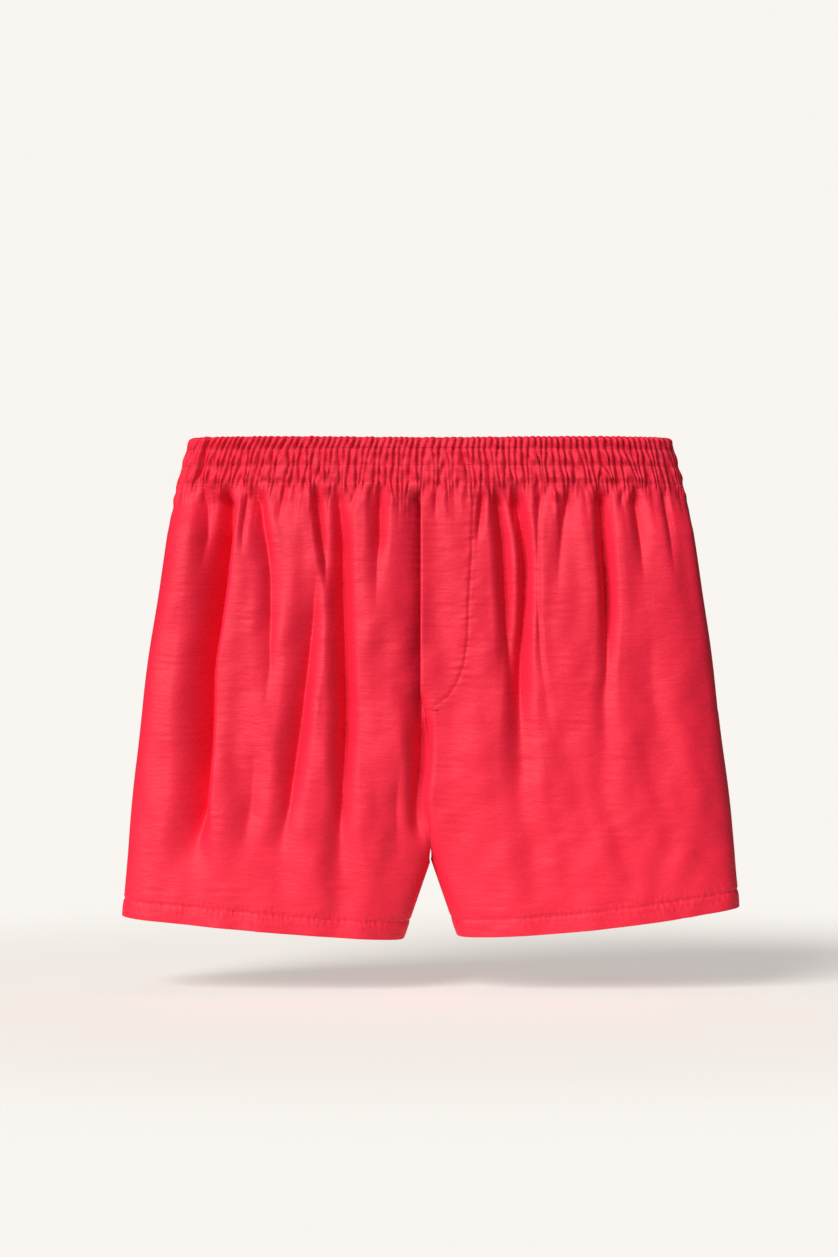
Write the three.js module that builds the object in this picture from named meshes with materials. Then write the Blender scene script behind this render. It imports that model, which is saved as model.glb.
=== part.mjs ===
// Woven boxer shorts, open as they are on a wearer, with an elasticated waist and a lapped fly.
// Millimetres, +Z up, the front faces -Y and the wearer's left is +X.
// The origin is the middle of the waist opening, level with the top edge of the waistband.
import * as THREE from 'three';

// ---- Driving dimensions -------------------------------------------------------------------

const gap = 0.3; // clearance between pieces that touch
const clothWall = 1.2; // wall of every cloth piece
const elasticWall = 1.5; // wall of the elastic tape
const threadSize = 0.7; // width of a sewn line, which stands this far off the cloth

const garmentLength = 380; // top edge of the waistband to the lowest point of the hems
const waistHalfWidth = 183; // top edge of the waistband
const panelTopHalfWidth = 193; // panels, just under the waistband
const hemHalfWidth = 233.5; // outer corners of the hems
const flare = 0.45; // how much of the widening comes early, 0 for straight sides

const waistHalfDepth = 36; // top edge of the waistband, front to back
const panelTopHalfDepth = 38;
const frontHemHalfDepth = 64;
const backHemHalfDepth = 71;
const frontFullness = 2; // how soon the front reaches its depth
const backFullness = 2.8; // the seat fills out higher up

const casingHeight = 36;
const tapeSlack = 4.5; // the casing's spare height round the tape
const ruffleHeight = 8.8; // top edge to the first row of casing stitches
const casingStitchMargin = 1.6; // last row to the casing's lower edge
const casingStitchRows = 3;

const crotchHeight = 58; // above the lowest point of the hems
const riseCurveHeight = 190; // the stretch over which the body divides into two legs
const inseamSpread = 20; // the inseam's distance from the middle at the hem
const hemRise = 20; // the hem climbs this much from inseam to side
const hemRiseShape = 1.35;
const hemHeight = 15; // width of the turned-up hem
const hemStitchMargin = 1.4; // stitching to the turned-up edge

const flyLap = 7.6; // the fly's free edge, past the middle
const flyLength = 174; // below the waistband, down to the end of the curved stitching
const flyTopWidth = 33; // from the middle to the stitching, under the waistband
const flyLowWidth = 26; // the same where the stitching starts to curve
const flyCurveHeight = 44; // height of the curved part of the stitching
const flyLayerGap = 0.5; // between the fly's layers, which curve differently from the front's facets
const flyMargin = 1.2; // facing's edge, inside the line of stitching
const underlapBack = 20; // the underlap's reach to either side of the middle
const underlapFront = 24;
const bartackLength = 6;

const seamWidth = 7; // overlocked seam allowance
const seamClearance = 1.4; // a seam's end to the piece above it
const labelWidth = 30;
const labelLength = 52;
const labelOffset = 22; // label's near edge, from the middle of the back

const panelColumns = 16; // a hem has twice as many, so that its facets lie along the panels'
const upperRows = 7;
const crotchRows = 7;
const legRows = 2;
const waistStations = 56;

// ---- Finishes -----------------------------------------------------------------------------

const cloth = { color: 0xee2f45, roughness: 0.62, metalness: 0 };
const thread = { color: 0xe02a40, roughness: 0.5, metalness: 0 };
const elastic = { color: 0xf0ece6, roughness: 0.8, metalness: 0 };
const label = { color: 0xf6f3ee, roughness: 0.55, metalness: 0 };

// ---- The surface that every piece follows ---------------------------------------------------
// A leg is a stack of ellipses. v runs from 0 at the top of the panels to 1 at the hem, and angle
// runs from 0 at the side seam to 180 degrees at the inseam. Above the crotch the two legs' ellipses
// cross the middle plane, so each panel stops there, and higher still they are one ellipse.

const front = -1;
const back = 1;
const panelTop = -casingHeight - gap;
const crotchZ = -garmentLength + crotchHeight;
const panelSpan = panelTop + garmentLength;
const crotchV = (panelTop - crotchZ) / panelSpan;

const mix = (a, b, t) => a + (b - a) * t;

function halfWidth(v) {
  return mix(panelTopHalfWidth, hemHalfWidth, v + flare * v * (1 - v));
}

function halfDepth(face, v) {
  const full = face === front ? frontHemHalfDepth : backHemHalfDepth;
  const power = face === front ? frontFullness : backFullness;
  return mix(panelTopHalfDepth, full, 1 - Math.max(1 - v, 0) ** power);
}

function legCentre(v) {
  const aboveCrotch = (crotchV - v) * panelSpan;
  const slope = inseamSpread / crotchHeight;
  const closed = (halfWidth(v) + gap / 2) / 2;
  if (aboveCrotch <= 0) return closed - (slope * aboveCrotch) / 2;
  const t = Math.min(aboveCrotch / riseCurveHeight, 1);
  const startSlope = (-slope * riseCurveHeight) / halfWidth(crotchV);
  const fall = 2 * t ** 3 - 3 * t ** 2 + 1 + startSlope * (t ** 3 - 2 * t ** 2 + t);
  return closed * fall;
}

function hemZ(x) {
  const across = (Math.abs(x) - inseamSpread) / (hemHalfWidth - inseamSpread);
  return -garmentLength + hemRise * Math.max(across, 0) ** hemRiseShape;
}

function legSurface(face, angle, v) {
  const centre = legCentre(v);
  const x = centre + (halfWidth(v) - centre) * Math.cos(angle);
  const y = face * (gap / 2 + halfDepth(face, v) * Math.sin(angle));
  return new THREE.Vector3(x, y, mix(panelTop, hemZ(x), v));
}

// A point sunk below a surface by the inset, along its normal.
function sink(surface, angle, height, inset) {
  const step = 1e-3;
  const across = surface(angle + step, height).sub(surface(angle - step, height));
  const along = surface(angle, height + step).sub(surface(angle, height - step));
  const normal = across.cross(along).normalize();
  const point = surface(angle, height);
  const outward = normal.x * Math.cos(angle) + normal.y * Math.sin(angle) > 0;
  return point.addScaledVector(normal, outward ? -inset : inset);
}

// A point on the wearer's left leg (side 1) or right leg (side -1).
function legPoint(side, face, angle, v, inset) {
  const surface = (turn, height) => legSurface(face, face * turn, height);
  const point = sink(surface, face * angle, v, inset);
  point.x *= side;
  return point;
}

// The angle at which the leg's ellipse passes a distance x from the middle.
function angleAt(x, v) {
  const centre = legCentre(v);
  return Math.acos(THREE.MathUtils.clamp((x - centre) / (halfWidth(v) - centre), -1, 1));
}

// A point on the front, or the back, at a distance x from the middle and a height z.
function bodyPoint(face, x, z, inset) {
  const v = (panelTop - z) / (panelTop - hemZ(x));
  return legPoint(1, face, angleAt(x, v), v, inset);
}

// A point on the waistband, at a depth below its top edge.
function waistPoint(angle, depth, inset) {
  const ring = (turn, down) => {
    const t = down / (casingHeight + gap);
    const x = mix(waistHalfWidth, panelTopHalfWidth, t) * Math.cos(turn);
    const y = mix(waistHalfDepth, panelTopHalfDepth, t) * Math.sin(turn);
    return new THREE.Vector3(x, y, -down);
  };
  return sink(ring, angle, depth, inset);
}

// A point on a leg's hem, at a height above its edge. The angle goes right round the leg.
function hemPoint(side, angle, height, inset) {
  const face = angle < Math.PI ? back : front;
  const turn = face === back ? angle : 2 * Math.PI - angle;
  const edgeX = legSurface(face, turn, 1).x;
  const v = 1 - height / (panelTop - hemZ(edgeX));
  return legPoint(side, face, turn, v, inset);
}

// ---- Closed solids ----------------------------------------------------------------------------

function closedSolid(points, triangles) {
  let volume = 0;
  const cross = new THREE.Vector3();
  for (const [a, b, c] of triangles) {
    volume += points[a].dot(cross.crossVectors(points[b], points[c]));
  }
  const facing = volume > 0 ? triangles : triangles.map(([a, b, c]) => [a, c, b]);
  const geometry = new THREE.BufferGeometry();
  geometry.setFromPoints(points);
  geometry.setIndex(facing.flat());
  geometry.computeVertexNormals();
  return geometry;
}

// A shell between two insets. place(i, j, inset) gives the point at column i and row j.
function shell(columns, rows, near, far, place) {
  const points = [];
  for (const inset of [near, far]) {
    for (let j = 0; j <= rows; j++) {
      for (let i = 0; i <= columns; i++) points.push(place(i, j, inset));
    }
  }
  const layer = (columns + 1) * (rows + 1);
  const at = (i, j, k) => k * layer + j * (columns + 1) + i;
  const triangles = [];
  const quad = (a, b, c, d) => triangles.push([a, b, c], [a, c, d]);
  for (let j = 0; j < rows; j++) {
    for (let i = 0; i < columns; i++) {
      quad(at(i, j, 0), at(i + 1, j, 0), at(i + 1, j + 1, 0), at(i, j + 1, 0));
      quad(at(i, j, 1), at(i, j + 1, 1), at(i + 1, j + 1, 1), at(i + 1, j, 1));
    }
    quad(at(0, j, 0), at(0, j + 1, 0), at(0, j + 1, 1), at(0, j, 1));
    quad(at(columns, j, 0), at(columns, j, 1), at(columns, j + 1, 1), at(columns, j + 1, 0));
  }
  for (let i = 0; i < columns; i++) {
    quad(at(i, 0, 0), at(i, 0, 1), at(i + 1, 0, 1), at(i + 1, 0, 0));
    quad(at(i, rows, 0), at(i + 1, rows, 0), at(i + 1, rows, 1), at(i, rows, 1));
  }
  return closedSolid(points, triangles);
}

// A ring of a closed profile. place(angle, height, inset) turns a profile point into a point.
function ring(stations, profile, place) {
  const points = [];
  for (let i = 0; i < stations; i++) {
    const angle = (2 * Math.PI * i) / stations;
    for (const [height, inset] of profile) points.push(place(angle, height, inset));
  }
  const sides = profile.length;
  const at = (i, k) => (i % stations) * sides + (k % sides);
  const triangles = [];
  for (let i = 0; i < stations; i++) {
    for (let k = 0; k < sides; k++) {
      triangles.push([at(i, k), at(i + 1, k), at(i + 1, k + 1)]);
      triangles.push([at(i, k), at(i + 1, k + 1), at(i, k + 1)]);
    }
  }
  return closedSolid(points, triangles);
}

const band = (low, high, near, far) => [[low, near], [high, near], [high, far], [low, far]];

// A sewn line that follows points on the cloth: a thin square bar along a smooth path.
function sewnLine(points, steps) {
  const half = threadSize / 2;
  const section = new THREE.Shape([
    new THREE.Vector2(-half, -half),
    new THREE.Vector2(half, -half),
    new THREE.Vector2(half, half),
    new THREE.Vector2(-half, half),
  ]);
  const extrudePath = new THREE.CatmullRomCurve3(points);
  return new THREE.ExtrudeGeometry(section, { extrudePath, steps, bevelEnabled: false });
}

// A seam allowance that stands in from a seam lying in a plane. The seam's points are (across, z),
// inward is 1 or -1 for the side of the curve that the allowance is on.
function standingSeam(seam, inward) {
  const offset = (distance) => seam.map((point, i) => {
    const before = seam[Math.max(i - 1, 0)];
    const after = seam[Math.min(i + 1, seam.length - 1)];
    const along = after.clone().sub(before).normalize();
    return new THREE.Vector2(-along.y, along.x).multiplyScalar(inward * distance).add(point);
  });
  const near = offset(clothWall + gap);
  const far = offset(clothWall + gap + seamWidth);
  const outline = new THREE.Shape([...near, ...far.reverse()]);
  const solid = new THREE.ExtrudeGeometry(outline, { depth: clothWall, bevelEnabled: false });
  solid.translate(0, 0, -clothWall / 2);
  return solid;
}

const shorts = new THREE.Group();

function addPiece(name, geometry, finish) {
  const mesh = new THREE.Mesh(geometry, new THREE.MeshStandardMaterial(finish));
  mesh.name = name;
  shorts.add(mesh);
  return mesh;
}

const sides = [['left', 1], ['right', -1]];

// ---- Panels -------------------------------------------------------------------------------------

const flyBottomZ = panelTop - flyLength;
const flyBottomV = flyLength / panelSpan;
const flyClosing = 0.05; // the stretch, as a share of the panel, over which the lap runs out

// Distance from the middle to the panel's edge. The left front laps over the right at the fly.
function panelEdge(side, face, v) {
  if (face === back) return gap / 2;
  const closing = THREE.MathUtils.smoothstep(v, flyBottomV - flyClosing, flyBottomV);
  return gap / 2 - side * flyLap * (1 - closing);
}

// One row lies at the fly's end, and rows crowd together towards the crotch.
function panelRows() {
  const rows = [];
  for (let j = 0; j < upperRows; j++) rows.push(mix(0, flyBottomV, j / upperRows));
  for (let j = 0; j < crotchRows; j++) {
    rows.push(mix(flyBottomV, crotchV, 1 - (1 - j / crotchRows) ** 1.7));
  }
  for (let j = 0; j <= legRows; j++) rows.push(mix(crotchV, 1, j / legRows));
  return rows;
}

function panel(side, face) {
  const rows = panelRows();
  const place = (i, j, inset) => {
    const v = rows[j];
    const inner = v < crotchV ? angleAt(panelEdge(side, face, v), v) : Math.PI;
    return legPoint(side, face, inner * (1 - i / panelColumns), v, inset);
  };
  return shell(panelColumns, rows.length - 1, 0, clothWall, place);
}

for (const [word, side] of sides) {
  addPiece(`front_panel_${word}`, panel(side, front), cloth);
  addPiece(`back_panel_${word}`, panel(side, back), cloth);
}

// ---- Waistband ------------------------------------------------------------------------------------
// The casing is a fold of cloth, open along its lower edge, round a loose elastic tape.

const elasticInset = clothWall + gap;
const innerLayerInset = elasticInset + elasticWall + gap;
const casingInset = innerLayerInset + clothWall;
const elasticTop = clothWall + gap;
const elasticHeight = casingHeight - elasticTop - tapeSlack;

const casingProfile = [
  [casingHeight, 0],
  [0, 0],
  [0, casingInset],
  [casingHeight, casingInset],
  [casingHeight, innerLayerInset],
  [clothWall, innerLayerInset],
  [clothWall, clothWall],
  [casingHeight, clothWall],
];
addPiece('waist_casing', ring(waistStations, casingProfile, waistPoint), cloth);

const tape = band(elasticTop, elasticTop + elasticHeight, elasticInset, elasticInset + elasticWall);
addPiece('waist_elastic', ring(waistStations, tape, waistPoint), elastic);

const halfThread = threadSize / 2;
for (let row = 0; row < casingStitchRows; row++) {
  const share = row / (casingStitchRows - 1);
  const depth = mix(ruffleHeight, casingHeight - casingStitchMargin, share);
  const line = band(depth - halfThread, depth + halfThread, -gap - threadSize, -gap);
  addPiece(`casing_stitch_row_${row + 1}`, ring(waistStations, line, waistPoint), thread);
}

// ---- Hems --------------------------------------------------------------------------------------------

const hemBandInset = clothWall + gap;
const hemStitchHeight = hemHeight - hemStitchMargin;
for (const [word, side] of sides) {
  const around = (angle, height, inset) => hemPoint(side, angle, height, inset);
  const turnUp = band(0, hemHeight, hemBandInset, hemBandInset + clothWall);
  addPiece(`hem_band_${word}`, ring(2 * panelColumns, turnUp, around), cloth);
  const line = band(hemStitchHeight - halfThread, hemStitchHeight + halfThread, -gap - threadSize, -gap);
  addPiece(`hem_stitch_${word}`, ring(2 * panelColumns, line, around), thread);
}

// ---- Seams -----------------------------------------------------------------------------------------------
// Each seam's allowance is overlocked and stands inside the garment, clear of the hem's fold.

const seamStart = seamClearance / panelSpan;
const seamSteps = 14;

// Points of a side seam (angle 0) or an inseam (angle 180 degrees), as (x, z).
function legSeamPoints(angle, startV) {
  const edge = legSurface(front, angle, 1);
  const endV = 1 - (hemHeight + gap) / (panelTop - edge.z);
  const points = [];
  for (let i = 0; i <= seamSteps; i++) {
    const point = legSurface(front, angle, mix(startV, endV, i / seamSteps));
    points.push(new THREE.Vector2(point.x, point.z));
  }
  return points;
}

// Points of the seam in the middle plane, as (y, z), along the panels' rows down to the crotch.
function riseSeamPoints(face, startRow) {
  const rows = panelRows().slice(startRow, upperRows + crotchRows + 1);
  rows[0] += seamStart;
  return rows.map((v) => {
    const point = legSurface(face, angleAt(gap / 2, v), v);
    return new THREE.Vector2(point.y, point.z);
  });
}

for (const [word, side] of sides) {
  const outer = standingSeam(legSeamPoints(0, seamStart), -1);
  const inner = standingSeam(legSeamPoints(Math.PI, crotchV + seamStart), 1);
  for (const [name, solid] of [['side_seam', outer], ['inseam', inner]]) {
    const piece = addPiece(`${name}_${word}`, solid, cloth);
    piece.rotation.x = Math.PI / 2;
    if (side < 0) piece.rotation.y = Math.PI;
  }
}

// One seam joins the two legs, from the fly's end, under the crotch and up to the back of the waist.
const crotchPoint = new THREE.Vector2(0, crotchZ);
const frontRise = riseSeamPoints(front, upperRows).slice(0, -1);
const backRise = riseSeamPoints(back, 0).slice(0, -1).reverse();
const crotchSeam = [...frontRise, crotchPoint, ...backRise];
const crotchPiece = addPiece('crotch_seam', standingSeam(crotchSeam, 1), cloth);
crotchPiece.rotation.set(Math.PI / 2, Math.PI / 2, 0);

// ---- Fly ----------------------------------------------------------------------------------------------------
// The left front's edge is turned under as a facing. The underlap behind it belongs to the right front.
// One line of stitching runs down from the waistband and curves in to the middle.

const flyTopZ = panelTop - gap;
const curveTop = new THREE.Vector2(flyLowWidth, flyBottomZ + flyCurveHeight);
const curveTurn = new THREE.Vector2(flyLowWidth - 2, flyBottomZ + 0.4 * flyCurveHeight);
const curveEnd = new THREE.Vector2(2 * gap + bartackLength, flyBottomZ + 3);
const flyCurve = new THREE.CurvePath();
flyCurve.add(new THREE.LineCurve(new THREE.Vector2(flyTopWidth, flyTopZ), curveTop));
flyCurve.add(new THREE.QuadraticBezierCurve(curveTop, curveTurn, curveEnd));

const facingRows = 16;
const facingColumns = 4;
const facingInset = clothWall + flyLayerGap;
const facingFar = facingInset + clothWall;
const facing = shell(facingColumns, facingRows, facingInset, facingFar, (i, j, inset) => {
  const outer = flyCurve.getPoint(j / facingRows);
  const inner = new THREE.Vector2(gap - flyLap, mix(flyTopZ, flyBottomZ + 5, j / facingRows));
  const point = inner.lerp(outer.sub(new THREE.Vector2(flyMargin, 0)), i / facingColumns);
  return bodyPoint(front, point.x, point.y, inset);
});
addPiece('fly_facing', facing, cloth);

const underlapInset = 2 * (clothWall + flyLayerGap);
const underlapRows = 8;
const underlapColumns = 4;
const underlap = shell(
  underlapColumns, underlapRows, underlapInset, underlapInset + clothWall,
  (i, j, inset) => {
    const x = mix(-underlapBack, underlapFront, i / underlapColumns);
    const z = mix(flyTopZ, flyBottomZ + 0.35 * flyCurveHeight, j / underlapRows);
    return bodyPoint(front, x, z, inset);
  },
);
addPiece('fly_underlap', underlap, cloth);

const threadLift = -gap - threadSize / 2;
const stitchedPoints = flyCurve.getSpacedPoints(24).map(({ x, y }) => bodyPoint(front, x, y, threadLift));
addPiece('fly_stitch', sewnLine(stitchedPoints, 40), thread);

const tackColumns = 3;
const tack = shell(tackColumns, 1, -gap - threadSize, -gap, (i, j, inset) => {
  const x = mix(gap, gap + bartackLength, i / tackColumns);
  return bodyPoint(front, x, mix(curveEnd.y + threadSize, curveEnd.y - threadSize, j), inset);
});
addPiece('fly_bartack', tack, thread);

// ---- Label -----------------------------------------------------------------------------------------------------

const labelInset = casingInset + gap;
const labelColumns = 2;
const labelRows = 4;
const labelTop = panelTop + 8;
const careLabel = shell(labelColumns, labelRows, labelInset, labelInset + clothWall, (i, j, inset) => {
  const x = mix(labelOffset, labelOffset + labelWidth, i / labelColumns);
  return bodyPoint(back, x, mix(labelTop, labelTop - labelLength, j / labelRows), inset);
});
addPiece('care_label', careLabel, label);

export default shorts;
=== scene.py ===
"""Woven boxer shorts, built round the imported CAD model. Metres, in the model's own frame.

Every piece is a surface worked out from two parameters. The body is a stack of ellipses, as in the
CAD model, and the cloth's folds, gathers and puckers are added along each ellipse's own direction.
"""

import math

import bpy
import numpy as np
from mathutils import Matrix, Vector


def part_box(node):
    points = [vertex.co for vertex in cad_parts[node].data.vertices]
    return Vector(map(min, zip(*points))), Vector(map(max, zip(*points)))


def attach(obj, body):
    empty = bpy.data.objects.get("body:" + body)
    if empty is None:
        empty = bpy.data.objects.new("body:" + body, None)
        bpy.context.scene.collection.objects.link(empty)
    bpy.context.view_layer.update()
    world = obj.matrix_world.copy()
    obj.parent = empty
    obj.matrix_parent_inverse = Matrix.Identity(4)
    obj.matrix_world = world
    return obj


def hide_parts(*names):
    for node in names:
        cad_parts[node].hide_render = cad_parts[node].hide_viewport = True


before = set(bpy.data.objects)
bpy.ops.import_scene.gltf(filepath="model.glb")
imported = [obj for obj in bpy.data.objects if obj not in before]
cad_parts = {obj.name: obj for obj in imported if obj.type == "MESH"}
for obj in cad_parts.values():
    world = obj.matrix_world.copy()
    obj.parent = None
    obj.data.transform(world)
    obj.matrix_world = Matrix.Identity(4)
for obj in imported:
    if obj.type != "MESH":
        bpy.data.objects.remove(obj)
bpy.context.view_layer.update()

bl_info = {
    "name": "Boxer shorts",
    "version": (1, 0, 0),
    "blender": (4, 5, 0),
    "location": "3D View > Sidebar > Shorts",
    "description": "Builds a pair of woven boxer shorts piece by piece",
    "category": "Add Mesh",
}

MM = 0.001
BODY = "root"

# ---- Sizes that come from the CAD model ----------------------------------------------------------

PANEL_LOW, PANEL_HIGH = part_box("back_panel_left")
FRONT_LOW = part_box("front_panel_left")[0]
GARMENT_LENGTH = -PANEL_LOW[2]
PANEL_TOP = PANEL_HIGH[2]
HEM_HALF_WIDTH = PANEL_HIGH[0]
BACK_HEM_HALF_DEPTH = PANEL_HIGH[1]
FRONT_HEM_HALF_DEPTH = -FRONT_LOW[1]
PANEL_SPAN = PANEL_TOP + GARMENT_LENGTH

# ---- Sizes of the garment's shape, as in the CAD model -------------------------------------------

WAIST_HALF_WIDTH = 183 * MM
PANEL_TOP_HALF_WIDTH = 193 * MM
WAIST_HALF_DEPTH = 36 * MM
PANEL_TOP_HALF_DEPTH = 38 * MM
FLARE = 0.45
FRONT_FULLNESS = 2.0
FRONT_FLATNESS = 0.70
BACK_FULLNESS = 2.8
CROTCH_HEIGHT = 58 * MM
RISE_CURVE_HEIGHT = 190 * MM
INSEAM_SPREAD = 20 * MM
CROTCH_V = (PANEL_SPAN - CROTCH_HEIGHT) / PANEL_SPAN
FRONT = -1
BACK = 1

# ---- Sewing sizes --------------------------------------------------------------------------------

STITCH_ROWS = (8.8 * MM, 21.6 * MM, 34.4 * MM)
CASING_LAP = 0.7 * MM
CASING_THICKNESS = 4.2 * MM
HEM_HEIGHT = 15 * MM
HEM_FOLD = 0.7 * MM
HEM_STITCH_HEIGHT = 13.6 * MM
SEAM_WIDTH = 7 * MM
PUCKERS_ROUND = 164


def mix(a, b, t):
    """a at t = 0, b at t = 1 and a straight change between."""
    return a + (b - a) * t


def smooth(low, high, value):
    """0 below low, 1 above high, and a smooth S between."""
    t = np.clip((value - low) / (high - low), 0, 1)
    return t * t * (3 - 2 * t)


def bump(value, centre, width):
    """A bell of height 1."""
    return np.exp(-(((value - centre) / width) ** 2))


def ripples(a, b, wavelength, seed, stretch=1.0, count=26):
    """Smooth uneven relief, about -2 to 2: a sum of sine waves that run in random directions.

    stretch above 1 makes the shapes that many times longer along a than along b.
    """
    random = np.random.default_rng(seed)
    direction = random.uniform(0, 2 * math.pi, count)
    pitch = 2 * math.pi / wavelength * random.uniform(0.65, 1.5, count)
    phase = random.uniform(0, 2 * math.pi, count)
    total = np.zeros(np.broadcast(a, b).shape)
    for turn, k, start in zip(direction, pitch, phase):
        total += np.sin(k * (np.cos(turn) * a / stretch + np.sin(turn) * b) + start)
    return total / math.sqrt(count / 2)


# ---- The body surface ----------------------------------------------------------------------------
# v runs from 0 at the top of the panels to 1 at the hem, and angle from 0 at the side seam to 180
# degrees at the inseam. Above v = 0 the surface is the waistband's.


def half_width(v):
    """Half the body's width: straight in the waistband, and flaring as v + FLARE v (1 - v) below."""
    down = 1 + np.minimum(v, 0) * PANEL_SPAN / -PANEL_TOP
    band = mix(WAIST_HALF_WIDTH, PANEL_TOP_HALF_WIDTH, down)
    panel = mix(PANEL_TOP_HALF_WIDTH, HEM_HALF_WIDTH, v + FLARE * v * (1 - v))
    return np.where(v < 0, band, panel)


def half_depth(face, v):
    """Half the body's depth: below the waistband it fills out as 1 - (1 - v) to a power."""
    down = 1 + np.minimum(v, 0) * PANEL_SPAN / -PANEL_TOP
    band = mix(WAIST_HALF_DEPTH, PANEL_TOP_HALF_DEPTH, down)
    full = FRONT_HEM_HALF_DEPTH if face == FRONT else BACK_HEM_HALF_DEPTH
    power = FRONT_FULLNESS if face == FRONT else BACK_FULLNESS
    panel = mix(PANEL_TOP_HALF_DEPTH, full, 1 - np.clip(1 - v, 0, 1) ** power)
    return np.where(v < 0, band, panel)


def leg_centre(v):
    """Middle of a leg's ellipse: 0 where the two legs are one body, then a smooth cubic out to the
    middle of the leg, which goes on down the inseam's slope."""
    above = (CROTCH_V - v) * PANEL_SPAN
    slope = INSEAM_SPREAD / CROTCH_HEIGHT
    closed = half_width(v) / 2
    t = np.clip(above / RISE_CURVE_HEIGHT, 0, 1)
    start = -slope * RISE_CURVE_HEIGHT / HEM_HALF_WIDTH
    fall = 2 * t**3 - 3 * t**2 + 1 + start * (t**3 - 2 * t**2 + t)
    return np.where(above > 0, closed * fall, closed - slope * above / 2)


def hem_edge(x, side):
    """Height of a hem's edge: it climbs from the inseam to the side, more on the wearer's left."""
    across = np.clip((np.abs(x) - INSEAM_SPREAD) / (HEM_HALF_WIDTH - INSEAM_SPREAD), 0, 1)
    low, rise, shape = (2.4 * MM, 22 * MM, 1.65) if side > 0 else (0.0, 17.5 * MM, 1.2)
    return -GARMENT_LENGTH + low + rise * across**shape


def inner_angle(x, v):
    """The angle at which a leg's ellipse passes a distance x from the middle."""
    centre = leg_centre(v)
    return np.arccos(np.clip((x - centre) / (half_width(v) - centre), -1, 1))


# The waistband's own distance round, from the wearer's left side, by way of the back.
RING_ANGLES = np.linspace(0, 2 * math.pi, 2881)
RING_X = PANEL_TOP_HALF_WIDTH * np.cos(RING_ANGLES)
RING_Y = PANEL_TOP_HALF_DEPTH * np.sin(RING_ANGLES)
RING_ARC = np.concatenate([[0], np.cumsum(np.hypot(np.diff(RING_X), np.diff(RING_Y)))])
RING_LENGTH = RING_ARC[-1]


def ring_turn(angle):
    """A full-circle coordinate that grows evenly with distance round the waist."""
    return 2 * math.pi * np.interp(np.mod(angle, 2 * math.pi), RING_ANGLES, RING_ARC) / RING_LENGTH


# ---- Gathers and folds ---------------------------------------------------------------------------


def channel_share(down, high, low):
    """0 above a stitched channel, 1 below it, and even between."""
    return np.clip((down - high) / (low - high), 0, 1)


def pucker_phase(turn, down):
    """Phase of the small puckers. They lean in the ruffle above the first row of stitches, and in
    each channel neighbours lean towards or away from each other, which leaves lozenges."""
    along = turn * RING_LENGTH / (2 * math.pi)
    top, middle, low = STITCH_ROWS
    sway = 1.6 * np.sin(7 * turn + 1.0) + 1.0 * np.sin(13 * turn + 4.0) + 0.5 * np.sin(29 * turn)
    lean = 0.22 - 0.26 * np.cos(turn - 0.6)
    phase = PUCKERS_ROUND * turn + sway + lean * np.minimum(down, top) / MM
    levels = ((top, middle, 3), (middle, low, 4), (low, low + 14 * MM, 6))
    for high, deep, seed in levels:
        drift = ripples(along, 0 * along, 12 * MM, seed=seed, count=10)
        phase = phase + 1.8 * drift * channel_share(down, high, deep)
    return phase


WAIST_TUCK = float(ring_turn(np.array(-2.73)))


def waist_relief(turn, down):
    """Height of the cloth at a distance down from the top edge: puckers held in at each row of
    stitches, one deeper tuck near the wearer's right side, and below the last row gathers that grow
    wider and softer on the way down."""
    along = turn * RING_LENGTH / (2 * math.pi)
    phase = pucker_phase(turn, down)
    ridge = (np.sin((phase + 0.35 * np.sin(phase)) / 2) ** 2 + 0.003) ** 0.5
    uneven = 1 + 0.22 * ripples(along, down, 13 * MM, seed=8, count=12)
    top, middle, low = STITCH_ROWS
    between = 1 - bump(down, top, 1.9 * MM) - bump(down, middle, 1.9 * MM) - bump(down, low, 1.9 * MM)
    tail = (6.5 + 3.6 * ripples(along, 0 * along, 9 * MM, seed=9, count=10)) * MM
    below = np.maximum(down - low, 0)
    fading = np.exp(-((below / np.maximum(tail, 2.5 * MM)) ** 1.4))
    calm = 1 - 0.60 * np.abs(np.cos(turn)) ** 60
    small = (2.6 + 0.7 * between) * ridge * uneven * fading * calm
    tuck = 2.8 * bump(turn, WAIST_TUCK - 0.024, 0.020) - 1.7 * bump(turn, WAIST_TUCK, 0.016)
    settle = (tuck - 0.2 * (1 - between) * calm) * fading
    wide_phase = PUCKERS_ROUND / 2.5 * turn + 2.4 * np.sin(5 * turn + 2) + 1.5 * np.sin(11 * turn)
    wide = (np.sin(wide_phase / 2) ** 2 + 0.01) ** 0.4
    wide_share = smooth(0, 10 * MM, below) * np.exp(-((below / (24 * MM)) ** 2))
    broad_phase = PUCKERS_ROUND / 6 * turn + 1.8 * np.sin(3 * turn + 1) + 1.2 * np.sin(8 * turn)
    broad = 0.5 + 0.5 * np.sin(broad_phase)
    broad_share = smooth(4 * MM, 40 * MM, below) * (1 - smooth(50 * MM, 150 * MM, below))
    return (small + settle + 1.5 * wide * wide_share * uneven + 1.3 * broad * broad_share) * MM


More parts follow.
